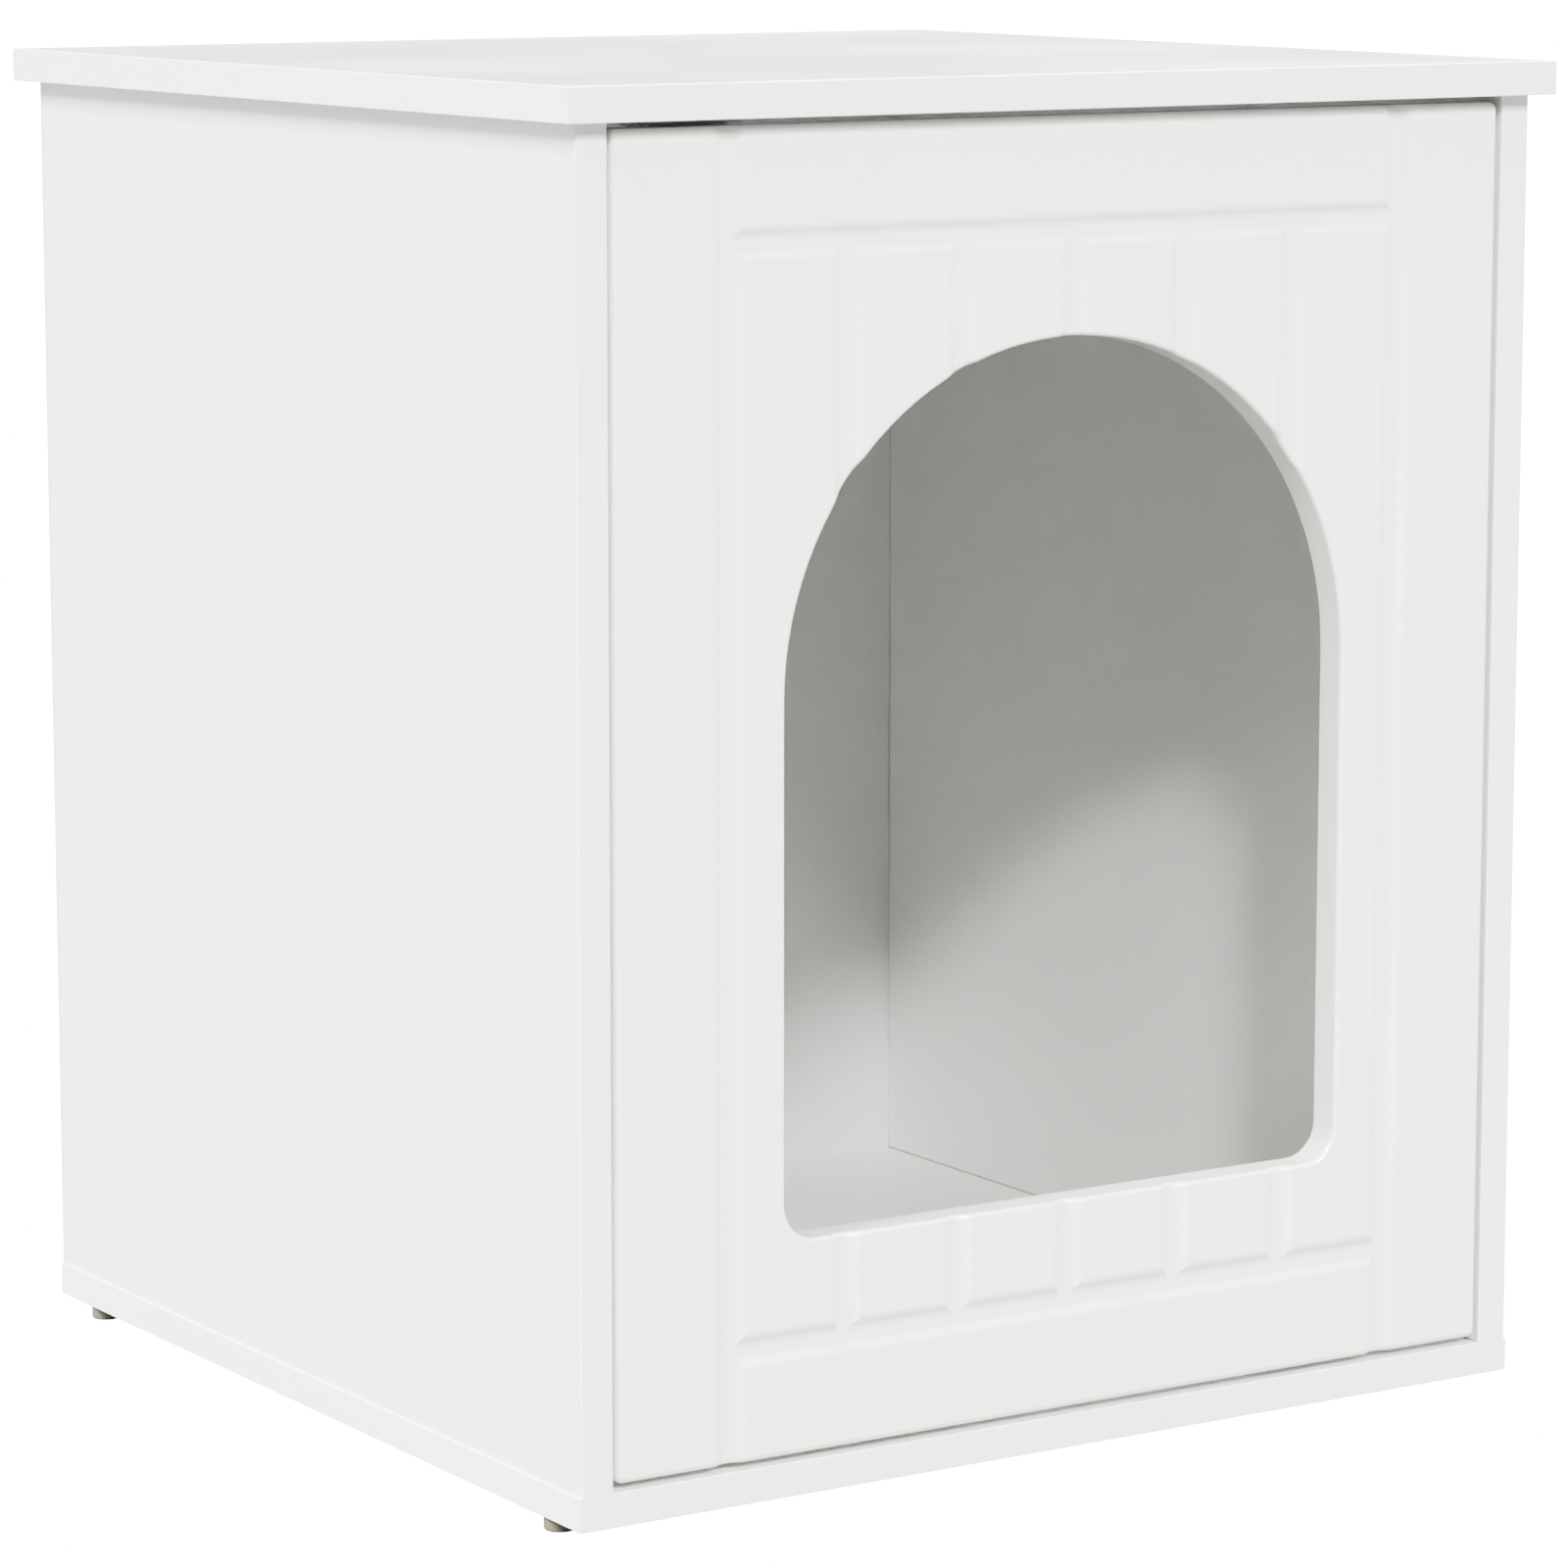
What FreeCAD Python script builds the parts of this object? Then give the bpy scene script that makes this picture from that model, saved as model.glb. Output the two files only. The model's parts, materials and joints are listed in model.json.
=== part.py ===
import FreeCAD, Part
import Sketcher
import math
import os
import re

# A cat house: a white cabinet on four glides, with an inset door that has an arched opening.
# The origin lies on the floor under the middle of the top panel, +X is to the right,
# the front looks towards -Y and +Z is up. The door hangs on the right and swings forward.

# Driving sizes, in millimetres
SIZES = {
    # Boards of the cabinet
    "top_width": 510,
    "top_depth": 510,
    "board_thickness": 15,
    "side_height": 568.5,
    "back_thickness": 3,
    "top_side_overhang": 7.5,
    "top_front_overhang": 9,
    "top_back_overhang": 11,
    "side_inset": 1,
    "back_clearance": 0.5,
    "band_thickness": 0.8,
    "band_round": 0.5,
    "shadow_line": 0.4,
    "shadow_depth": 3,
    # Glides and their nails
    "foot_height": 6.5,
    "foot_radius": 7,
    "foot_chamfer": 0.6,
    "foot_recess": 2,
    "foot_side_inset": 8.5,
    "foot_end_inset": 31,
    "foot_nail_head_radius": 2.5,
    "foot_nail_head_height": 1,
    "foot_nail_radius": 1,
    "foot_nail_bite": 11,
    # Door leaf, arch and grooves
    "door_thickness": 15,
    "door_side_gap": 2,
    "door_top_gap": 3,
    "door_bottom_gap": 3,
    "door_corner_round": 3.5,
    "door_edge_round": 3,
    "jamb_inset": 27.5,
    "arch_sill": 93,
    "arch_crown_drop": 93.5,
    "arch_corner_round": 16,
    "arch_edge_round": 2,
    "stile_inset": 56,
    "rail_inset": 48.5,
    "groove_width": 16,
    "groove_floor": 2,
    "groove_depth": 2.2,
    # Cam fittings under the top
    "cam_inset": 60,
    "cam_drop": 34,
    "cam_radius": 7.45,
    "cam_length": 12,
    "cam_cap_radius": 8.5,
    "cam_cap_thickness": 1,
    "stud_head_radius": 3.4,
    "stud_head_length": 3,
    "stud_radius": 2.6,
    "stud_thread_radius": 2.5,
    "stud_thread_length": 11,
    "stud_bore_radius": 4,
    "socket_gap": 0.3,
    # Dowels
    "dowel_inset": 110,
    "dowel_radius": 4,
    "dowel_in_face": 10,
    "dowel_in_edge": 20,
    # Screws up through the bottom panel
    "bottom_screw_inset": 60,
    "bottom_screw_head_radius": 5,
    "bottom_screw_head_length": 4,
    "bottom_screw_shank_radius": 3.5,
    "bottom_screw_thread_radius": 2.5,
    "bottom_screw_thread_length": 35,
    # Nails of the back panel
    "back_nail_end_inset": 30,
    "back_nail_radius": 0.7,
    "back_nail_length": 20,
    "back_nail_head_radius": 1.6,
    "back_nail_head_height": 0.8,
    # Concealed hinges: cup and pin
    "hinge_inset": 88,
    "pivot_inset": 20,
    "pivot_depth": 10,
    "cup_inset": 22.5,
    "cup_radius": 17.5,
    "cup_depth": 12,
    "cup_wall": 1.25,
    "flange_radius": 19,
    "flange_thickness": 1.2,
    "wing_length": 62,
    "wing_width": 14,
    "wing_offset": 6,
    "cup_screw_spacing": 48,
    "cup_screw_length": 10,
    "pin_radius": 2,
    "pin_seat": 0.6,
    # Concealed hinges: arm and mounting plate
    "eye_radius": 3.6,
    "eye_gap": 0.3,
    "arm_thickness": 2.5,
    "arm_width": 12,
    "arm_clearance": 5,
    "arm_length": 50,
    "neck_reach": 13,
    "adjust_screw_offset": 16,
    "fixing_screw_offset": 36,
    "arm_screw_head_radius": 3.2,
    "arm_screw_head_height": 2,
    "arm_screw_radius": 1.6,
    "arm_screw_play": 0.3,
    "plate_thickness": 5.5,
    "plate_length": 46,
    "plate_width": 14,
    "plate_wing_thickness": 1.5,
    "plate_wing_length": 50,
    "plate_wing_width": 14,
    "plate_wing_offset": 12,
    "plate_screw_spacing": 32,
    "plate_screw_length": 12,
    # Magnetic catch
    "strike_inset": 45,
    "strike_width": 52,
    "strike_screw_spacing": 42,
    "strike_screw_length": 9,
    "strike_height": 8,
    "strike_thickness": 1,
    "catch_gap": 0.3,
    "catch_length": 34,
    "catch_depth": 15,
    "catch_height": 16,
    "lug_length": 56,
    "lug_thickness": 2.5,
    "magnet_length": 28,
    "magnet_depth": 9,
    "magnet_height": 5,
    "pole_thickness": 1.2,
    "pole_depth": 12,
    "pole_stand": 0.7,
    "catch_screw_length": 10,
    # Small wood screws, fits and drilling
    "screw_head_radius": 3,
    "screw_head_height": 1.6,
    "screw_radius": 1.5,
    "fit": 0.05,
    "drill_spare": 0.5,
    "overrun": 1,
}

# Sizes and places that follow from the driving sizes
FOLLOWING = {
    "front_y": "-top_depth / 2 + top_front_overhang",
    "bottom_width": "top_width - 2 * top_side_overhang",
    "bottom_depth": "top_depth - top_front_overhang - top_back_overhang",
    "floor_z": "foot_height + board_thickness",
    "ceiling_z": "floor_z + side_height",
    "side_outer_x": "bottom_width / 2 - side_inset",
    "inner_x": "side_outer_x - board_thickness",
    "side_mid_x": "inner_x + board_thickness / 2",
    "side_depth": "bottom_depth - back_thickness",
    "back_y": "front_y + side_depth",
    "cam_z": "ceiling_z - cam_drop",
    "door_width": "2 * (inner_x - door_side_gap)",
    "door_height": "side_height - door_top_gap - door_bottom_gap",
    "door_mid_z": "floor_z + door_bottom_gap + door_height / 2",
    "door_back_y": "front_y + door_thickness",
    "stile_groove_x": "door_width / 2 - stile_inset",
    "rail_groove_z": "door_height / 2 - rail_inset",
    "flank_mid": "(groove_width + groove_floor) / 4",
    "flank_half": "(groove_width - groove_floor) / 4",
    "groove_round": "(flank_half ^ 2 + (groove_depth / 2) ^ 2) / groove_depth",
    "arch_width": "2 * (stile_groove_x - jamb_inset)",
    "arch_sill_z": "arch_sill - door_height / 2",
    "arch_spring_z": "door_height / 2 - arch_crown_drop - arch_width / 2",
    "hinge_half_span": "door_height / 2 - hinge_inset",
    "pivot_x": "door_width / 2 - pivot_inset",
    "pivot_y": "front_y + pivot_depth",
    "hinge_reach": "pivot_inset + door_side_gap",
    "cup_x": "door_width / 2 - cup_inset",
    "cup_shift": "cup_inset - pivot_inset",
    "cup_outer_radius": "cup_radius - fit",
    "cup_inner_radius": "cup_outer_radius - cup_wall",
    "pin_length": "2 * (sqrt(cup_inner_radius ^ 2 - cup_shift ^ 2) + pin_seat)",
    "eye_length": "2 * (sqrt(cup_inner_radius ^ 2 - (cup_shift + eye_radius) ^ 2) - eye_gap)",
    "arm_back": "pivot_inset + arm_clearance",
    "strip_x": "hinge_reach - plate_thickness - arm_thickness / 2",
    "catch_x": "strike_inset - door_width / 2",
    "catch_y": "door_back_y + strike_thickness + catch_gap",
    "catch_z": "ceiling_z - catch_height / 2",
    "housing_y": "catch_y + pole_stand",
    "lug_screw_x": "(catch_length + lug_length) / 4",
}

NAMES = set(SIZES) | set(FOLLOWING)
BACK_NAILS_PER_SIDE = 5
BEADS = 5
NEARLY_SHARE = 0.999
SIDES = {"left": "-1", "right": "1"}
HINGES = {"lower": "-1", "upper": "1"}
TURNS = {
    "Z": FreeCAD.Rotation(),
    "X": FreeCAD.Rotation(FreeCAD.Vector(0, 1, 0), 90),
    "-X": FreeCAD.Rotation(FreeCAD.Vector(0, 1, 0), -90),
    "Y": FreeCAD.Rotation(FreeCAD.Vector(1, 0, 0), -90),
    "-Y": FreeCAD.Rotation(FreeCAD.Vector(1, 0, 0), 90),
}

doc = FreeCAD.newDocument("cat_house")
sheet = doc.addObject("Spreadsheet::Sheet", "dims")
nodes = []


# Sheet and formulas

def fill_sheet():
    """Write every driving size as a number and every following size as a formula."""
    rows = list(SIZES.items()) + [(name, "=" + text) for name, text in FOLLOWING.items()]
    for row, (name, content) in enumerate(rows, start=1):
        sheet.set(f"A{row}", name)
        sheet.set(f"B{row}", str(content))
        sheet.setAlias(f"B{row}", name)
    doc.recompute()


def on_sheet(text):
    """Point the size names in a formula at the sheet."""
    return re.sub(r"[a-z_]+", lambda word: "dims." + word[0] if word[0] in NAMES else word[0], text)


def bind(thing, prop, text):
    thing.setExpression(prop, on_sheet(text))


def value(text):
    return float(sheet.evalExpression(on_sheet(text)))


def place(thing, x, y, z, axis="Z"):
    """Put a piece at formulas, with its own Z turned to the named axis."""
    thing.Placement = FreeCAD.Placement(FreeCAD.Vector(), TURNS[axis])
    for name, text in zip("xyz", (x, y, z)):
        bind(thing, "Placement.Base." + name, text)


def node(thing, label):
    """Give a finished sub-part the name that its file gets."""
    thing.Label = label
    nodes.append(thing)


# Plain solids and groups

def block(name, length, width, height, x, y, z):
    box = doc.addObject("Part::Box", name)
    bind(box, "Length", length)
    bind(box, "Width", width)
    bind(box, "Height", height)
    place(box, x, y, z)
    return box


def rod(name, radius, length, x, y, z, axis="Z"):
    cylinder = doc.addObject("Part::Cylinder", name)
    bind(cylinder, "Radius", radius)
    bind(cylinder, "Height", length)
    place(cylinder, x, y, z, axis)
    return cylinder


def fuse(name, pieces):
    whole = doc.addObject("Part::MultiFuse", name)
    whole.Shapes = pieces
    return whole


def cut(name, base, tools):
    rest = doc.addObject("Part::Cut", name)
    rest.Base = base
    rest.Tool = tools[0] if len(tools) == 1 else fuse(name + "_tools", tools)
    return rest


def stepped(name, steps, x, y, z, axis="Z"):
    """A turned piece: coaxial cylinders, each with a radius, a start and a length."""
    turned = fuse(name, [rod(name + "_step", radius, length, "0", "0", start)
                         for radius, start, length in steps])
    place(turned, x, y, z, axis)
    return turned


def headed(name, head, shank, length, x, y, z, axis="Z"):
    """A screw or nail whose head sits on the surface at the given place."""
    head_radius, head_height = head
    steps = [(head_radius, "-" + head_height, head_height), (shank, "0", length)]
    return stepped(name, steps, x, y, z, axis)


def group(label, pieces):
    """Several alike solids that share one node."""
    gathered = doc.addObject("Part::Compound", label)
    gathered.Links = pieces
    node(gathered, label)


# Bodies, sketches and features

def body(label, x, y, z, turn=0):
    piece = doc.addObject("PartDesign::Body", label)
    place(piece, x, y, z)
    piece.Placement.Rotation = FreeCAD.Rotation(FreeCAD.Vector(0, 0, 1), turn)
    node(piece, label)
    return piece


def sketch_on(piece, role, offset="0"):
    """A sketch on one of the body's own planes, moved along the plane's normal."""
    plane = next(feature for feature in piece.Origin.OriginFeatures if feature.Role == role)
    sketch = piece.newObject("Sketcher::SketchObject", piece.Name + "_sketch")
    sketch.AttachmentSupport = [(plane, "")]
    sketch.MapMode = "FlatFace"
    bind(sketch, "AttachmentOffset.Base.z", offset)
    return sketch


def tie(sketch, geometry, point, x, y):
    """Hold one point of a sketch at formulas measured from the sketch's origin."""
    for kind, text in (("DistanceX", x), ("DistanceY", y)):
        held = sketch.addConstraint(Sketcher.Constraint(kind, -1, 1, geometry, point, value(text)))
        bind(sketch, f"Constraints[{held}]", text)


def hold_radius(sketch, geometry, radius):
    held = sketch.addConstraint(Sketcher.Constraint("Radius", geometry, value(radius)))
    bind(sketch, f"Constraints[{held}]", radius)


def circle(sketch, x, y, radius):
    centre = FreeCAD.Vector(value(x), value(y), 0)
    drawn = sketch.addGeometry(Part.Circle(centre, FreeCAD.Vector(0, 0, 1), value(radius)))
    tie(sketch, drawn, 3, x, y)
    hold_radius(sketch, drawn, radius)


def arc_between(start, end, radius, side):
    """The short arc between two points, with its centre left (1) or right (-1) of the way."""
    chord = end - start
    across = FreeCAD.Vector(-chord.y, chord.x, 0).normalize()
    rise = math.sqrt(max(radius ** 2 - (chord.Length / 2) ** 2, 0))
    centre = (start + end) / 2 + across * (side * rise)
    angles = [math.atan2(point.y - centre.y, point.x - centre.x) for point in (start, end)]
    if side < 0:
        angles.reverse()
    base = Part.Circle(centre, FreeCAD.Vector(0, 0, 1), radius)
    return Part.ArcOfCircle(base, angles[0], angles[1])


def trace(sketch, outline):
    """Draw a closed outline of corners; a corner with a radius and a side starts a round stretch."""
    spots = [FreeCAD.Vector(value(corner[0]), value(corner[1]), 0) for corner in outline]
    drawn = []
    for spot, corner, goal in zip(spots, outline, spots[1:] + spots[:1]):
        ends = (1, 2)
        if len(corner) == 2:
            stretch = Part.LineSegment(spot, goal)
        else:
            stretch = arc_between(spot, goal, value(corner[2]), corner[3])
            ends = (1, 2) if corner[3] > 0 else (2, 1)
        drawn.append((sketch.addGeometry(stretch), ends))
    for (here, ends), (following, next_ends) in zip(drawn, drawn[1:] + drawn[:1]):
        sketch.addConstraint(Sketcher.Constraint("Coincident", here, ends[1], following, next_ends[0]))
    for (here, ends), corner in zip(drawn, outline):
        tie(sketch, here, ends[0], corner[0], corner[1])
        if len(corner) > 2:
            hold_radius(sketch, here, corner[2])


def extrude(piece, kind, sketch, length=None, reverse=False, symmetric=False):
    """A Pad or a Pocket; with no length it goes right through."""
    before = 0 if piece.Shape.isNull() else piece.Shape.Volume
    feature = piece.newObject("PartDesign::" + kind, piece.Name + "_" + kind.lower())
    feature.Profile = sketch
    feature.Reversed = reverse
    if symmetric:
        feature.SideType = "Symmetric"
    if length is None:
        feature.Type = "ThroughAll"
    else:
        bind(feature, "Length", length)
    doc.recompute()
    if kind == "Pocket" and piece.Shape.Volume >= before:
        raise RuntimeError(piece.Name + ": a pocket cuts nothing")


def round_edges(piece, radius, chosen):
    """Round the edges of the body so far that pass the test."""
    base = piece.Tip
    names = [f"Edge{count}" for count, edge in enumerate(base.Shape.Edges, start=1) if chosen(edge)]
    feature = piece.newObject("PartDesign::Fillet", piece.Name + "_fillet")
    feature.Base = (base, names)
    bind(feature, "Radius", radius)
    doc.recompute()


# Places that several pieces share

def both_ends(inset):
    """Places along a side panel, the same distance from its front and its rear edge."""
    return [f"front_y + {inset}", f"front_y + side_depth - {inset}"]


def side_spots(inset):
    """The two fastener places on each side panel's middle line: side, x and y."""
    return [(side, f"{sign} * side_mid_x", y) for side, sign in SIDES.items() for y in both_ends(inset)]


# Boards

def top_panel():
    board = block("top_board", "top_width - 2 * band_thickness", "top_depth - 2 * band_thickness",
                  "board_thickness", "band_thickness - top_width / 2", "band_thickness - top_depth / 2",
                  "ceiling_z")
    holes = []
    for side, x, y in side_spots("cam_inset"):
        holes.append(rod("stud_hole", "stud_thread_radius + fit", "stud_thread_length + drill_spare",
                         x, y, "ceiling_z"))
    for side, x, y in side_spots("dowel_inset"):
        holes.append(rod("dowel_hole", "dowel_radius + fit", "dowel_in_face + drill_spare",
                         x, y, "ceiling_z"))
    for x in catch_screw_places():
        holes.append(rod("catch_hole", "screw_radius + fit",
                         "catch_screw_length - lug_thickness + drill_spare",
                         x, "housing_y + catch_depth / 2", "ceiling_z"))
    node(cut("top_panel", board, holes), "top_panel")


def bottom_panel():
    board = block("bottom_board", "bottom_width - 2 * band_thickness", "bottom_depth - 2 * band_thickness",
                  "board_thickness", "band_thickness - bottom_width / 2", "front_y + band_thickness",
                  "foot_height")
    holes = []
    for side, x, y in side_spots("bottom_screw_inset"):
        holes.append(stepped("screw_hole",
                             [("bottom_screw_head_radius + fit", "0", "bottom_screw_head_length"),
                              ("bottom_screw_shank_radius + fit", "0", "board_thickness")],
                             x, y, "foot_height"))
    for side, x, y in side_spots("dowel_inset"):
        holes.append(rod("dowel_hole", "dowel_radius + fit", "dowel_in_face + drill_spare",
                         x, y, "floor_z - dowel_in_face - drill_spare"))
    for name, x, y in foot_spots():
        holes.append(rod("nail_hole", "foot_nail_radius + fit", "foot_nail_bite + drill_spare",
                         x, y, "foot_height"))
    node(cut("bottom_panel", board, holes), "bottom_panel")


def side_panel(side, sign):
    board = block(side + "_board", "board_thickness", "side_depth - band_thickness", "side_height",
                  f"{sign} * side_mid_x - board_thickness / 2", "front_y + band_thickness", "floor_z")
    x = f"{sign} * side_mid_x"
    outward = "X" if side == "right" else "-X"
    holes = []
    for y in both_ends("cam_inset"):
        holes.append(rod("cam_hole", "cam_radius + fit", "cam_length + drill_spare",
                         f"{sign} * inner_x", y, "cam_z", outward))
        holes.append(rod("stud_bore", "stud_bore_radius", "cam_drop", x, y, "cam_z"))
    for y in both_ends("dowel_inset"):
        for z in ("ceiling_z - dowel_in_edge - drill_spare", "floor_z"):
            holes.append(rod("dowel_hole", "dowel_radius + fit", "dowel_in_edge + drill_spare", x, y, z))
    for y in both_ends("bottom_screw_inset"):
        holes.append(rod("screw_hole", "bottom_screw_thread_radius + fit",
                         "bottom_screw_thread_length + drill_spare", x, y, "floor_z"))
    for z in back_nail_heights():
        holes.append(rod("nail_hole", "back_nail_radius + fit",
                         "back_nail_length - back_thickness + drill_spare", x, "back_y", z, "-Y"))
    if side == "right":
        for z in plate_screw_heights():
            holes.append(rod("plate_hole", "screw_radius + fit",
                             "plate_screw_length - plate_wing_thickness + drill_spare",
                             "inner_x", "pivot_y + arm_back + plate_wing_offset", z, outward))
    # The thin dark lines that the photo shows where the board meets the floor and the back
    x = "inner_x" if side == "right" else "-inner_x - shadow_depth"
    length = "side_depth - band_thickness"
    holes.append(block("floor_line", "shadow_depth", length, "shadow_line",
                       x, "front_y + band_thickness", "floor_z"))
    holes.append(block("back_line", "shadow_depth", "shadow_line", "side_height",
                       x, "back_y - shadow_line", "floor_z"))
    node(cut(side + "_side_panel", board, holes), side + "_side_panel")


def back_nail_heights():
    steps = BACK_NAILS_PER_SIDE - 1
    span = "(side_height - 2 * back_nail_end_inset)"
    return [f"floor_z + back_nail_end_inset + {span} * {count} / {steps}" for count in range(steps + 1)]


def back_panel():
    board = block("back_board", "2 * side_outer_x", "back_thickness", "side_height - back_clearance",
                  "-side_outer_x", "back_y", "floor_z")
    holes = [rod("nail_hole", "back_nail_radius + fit", "back_thickness",
                 f"{sign} * side_mid_x", "back_y", z, "Y")
             for sign in SIDES.values() for z in back_nail_heights()]
    node(cut("back_panel", board, holes), "back_panel")
    group("back_panel_nails",
          [headed("back_nail", ("back_nail_head_radius", "back_nail_head_height"), "back_nail_radius",
                  "back_nail_length", f"{sign} * side_mid_x", "back_y + back_thickness", z, "-Y")
           for sign in SIDES.values() for z in back_nail_heights()])


# Edge bands, each with its outer face towards its own -Y before it is turned

def edge_band(label, length, height, x, y, z, turn=0):
    piece = body(label, x, y, z, turn)
    strip = piece.newObject("PartDesign::AdditiveBox", label + "_strip")
    bind(strip, "Length", length)
    bind(strip, "Width", "band_thickness")
    bind(strip, "Height", height)
    doc.recompute()
    long_enough = max(edge.Length for edge in strip.Shape.Edges) * NEARLY_SHARE
    outer = value("band_thickness") / 2
    round_edges(piece, "band_round",
                lambda edge: edge.Length > long_enough and edge.BoundBox.YMax < outer)


def panel_bands(name, width, depth, front, z):
    """Bands round a lying panel: front and back run its full width, left and right fit between."""
    back = f"{front} + {depth}"
    between = depth + " - 2 * band_thickness"
    left, right, tall = f"-{width} / 2", f"{width} / 2", "board_thickness"
    edge_band(name + "_front_band", width, tall, left, front, z)
    edge_band(name + "_right_band", between, tall, right, front + " + band_thickness", z, 90)
    edge_band(name + "_back_band", width, tall, right, back, z, 180)
    edge_band(name + "_left_band", between, tall, left, back + " - band_thickness", z, -90)


def edge_bands():
    panel_bands("top", "top_width", "top_depth", "-top_depth / 2", "ceiling_z")
    panel_bands("bottom", "bottom_width", "bottom_depth", "front_y", "foot_height")
    for side, sign in SIDES.items():
        edge_band(side + "_side_band", "board_thickness", "side_height",
                  f"{sign} * side_mid_x - board_thickness / 2", "front_y", "floor_z")


# Glides

def foot_spots():
    return [(f"{end}_{side}", f"{sign} * (bottom_width / 2 - foot_side_inset)", y)
            for side, sign in SIDES.items()
            for end, y in (("front", "front_y + foot_end_inset"),
                           ("back", "front_y + bottom_depth - foot_end_inset"))]


def feet():
    nails = []
    for name, x, y in foot_spots():
        piece = body(name + "_foot", x, y, "0")
        sketch = sketch_on(piece, "XZ_Plane")
        trace(sketch, [("foot_nail_radius + fit", "foot_recess"),
                       ("foot_nail_head_radius + fit", "foot_recess"),
                       ("foot_nail_head_radius + fit", "0"),
                       ("foot_radius - foot_chamfer", "0"),
                       ("foot_radius", "foot_chamfer"),
                       ("foot_radius", "foot_height"),
                       ("foot_nail_radius + fit", "foot_height")])
        turned = piece.newObject("PartDesign::Revolution", piece.Name + "_revolution")
        turned.Profile = sketch
        turned.ReferenceAxis = (sketch, ["V_Axis"])
        nails.append(headed("foot_nail", ("foot_nail_head_radius", "foot_nail_head_height"),
                            "foot_nail_radius", "foot_height - foot_recess + foot_nail_bite",
                            x, y, "foot_recess"))
    group("foot_nails", nails)


# Fittings between the boards

def cam_fittings():
    studs, nuts, caps = [], [], []
    for side, x, y in side_spots("cam_inset"):
        outward, inward = ("X", "-X") if side == "right" else ("-X", "X")
        face = f"{SIDES[side]} * inner_x"
        shank = "cam_drop - stud_head_length / 2"
        studs.append(stepped("cam_stud",
                             [("stud_head_radius", "0", "stud_head_length"),
                              ("stud_radius", "stud_head_length", shank),
                              ("stud_thread_radius", f"stud_head_length + {shank}", "stud_thread_length")],
                             x, y, "cam_z - stud_head_length / 2"))
        drum = rod("cam_drum", "cam_radius", "cam_length", face, y, "cam_z", outward)
        socket = rod("cam_socket", "stud_head_radius + socket_gap",
                     "cam_radius + stud_head_length / 2 + socket_gap",
                     x, y, "cam_z - stud_head_length / 2 - socket_gap")
        nuts.append(cut("cam_nut", drum, [socket]))
        caps.append(rod("cam_cap", "cam_cap_radius", "cam_cap_thickness", face, y, "cam_z", inward))
    group("top_cam_studs", studs)
    group("top_cam_nuts", nuts)
    group("top_cam_caps", caps)


def dowels():
    length = "dowel_in_face + dowel_in_edge"
    group("top_dowels", [rod("top_dowel", "dowel_radius", length, x, y, "ceiling_z - dowel_in_edge")
                         for side, x, y in side_spots("dowel_inset")])
    group("bottom_dowels", [rod("bottom_dowel", "dowel_radius", length, x, y, "floor_z - dowel_in_face")
                            for side, x, y in side_spots("dowel_inset")])


def bottom_screws():
    steps = [("bottom_screw_head_radius", "0", "bottom_screw_head_length"),
             ("bottom_screw_shank_radius", "0", "board_thickness"),
             ("bottom_screw_thread_radius", "0", "board_thickness + bottom_screw_thread_length")]
    group("bottom_screws", [stepped("bottom_screw", steps, x, y, "foot_height")
                            for side, x, y in side_spots("bottom_screw_inset")])


# Door leaf, measured from the middle of its front face with its own +Y towards the inside

def rounded_rectangle(half_width, half_height, radius):
    """Counter-clockwise corners of a rectangle about the origin, with round corners."""
    right, top = half_width, half_height
    near_right, near_top = f"{right} - {radius}", f"{top} - {radius}"
    return [(f"-({near_right})", f"-{top}"), (near_right, f"-{top}", radius, 1),
            (right, f"-({near_top})"), (right, near_top, radius, 1),
            (near_right, top), (f"-({near_right})", top, radius, 1),
            (f"-{right}", near_top), (f"-{right}", f"-({near_top})", radius, 1)]


def arch_outline():
    side, corner = "arch_width / 2", "arch_corner_round"
    return [(f"{corner} - {side}", "arch_sill_z"),
            (f"{side} - {corner}", "arch_sill_z", corner, 1),
            (side, f"arch_sill_z + {corner}"),
            (side, "arch_spring_z", side, 1),
            ("0", f"arch_spring_z + {side}", side, 1),
            (f"-{side}", "arch_spring_z"),
            (f"-{side}", f"arch_sill_z + {corner}", corner, 1)]


def groove_outline(centre):
    """Cross-section of a moulded groove, as places across it and depths into the leaf.

    Each flank is two arcs that run smoothly out of the face and into the floor."""
    edge, low = "groove_width / 2", "groove_floor / 2"
    half, deep, sweep = "groove_depth / 2", "groove_depth", "groove_round"
    return [(f"{centre} - {edge}", "-overrun"), (f"{centre} + {edge}", "-overrun"),
            (f"{centre} + {edge}", "0", sweep, -1), (f"{centre} + flank_mid", half, sweep, 1),
            (f"{centre} + {low}", deep), (f"{centre} - {low}", deep, sweep, 1),
            (f"{centre} - flank_mid", half, sweep, -1), (f"{centre} - {edge}", "0")]


def swapped(outline):
    """The same outline with across and depth exchanged, which also mirrors its round stretches."""
    return [(corner[1], corner[0], *corner[2:3], *[-side for side in corner[3:]]) for corner in outline]


def in_arch(middle):
    """Tell whether a place on the leaf lies on the doorway's outline or inside it."""
    half, low = value("arch_width / 2 + overrun"), value("arch_sill_z - overrun")
    return abs(middle.x) < half and low < middle.z < value("arch_spring_z") + half


def round_fronts(piece, radius, chosen):
    """Round the front edges of the faces that stand square to the leaf, down into its grooves."""
    deep = value("door_thickness")
    walls = [face for face in piece.Tip.Shape.Faces if face.BoundBox.YLength > deep / 2]
    fronts = [edge for face in walls for edge in face.Edges if edge.BoundBox.YMax < deep / 2]
    round_edges(piece, radius,
                lambda edge: chosen(edge.CenterOfMass) and any(edge.isSame(front) for front in fronts))


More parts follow.
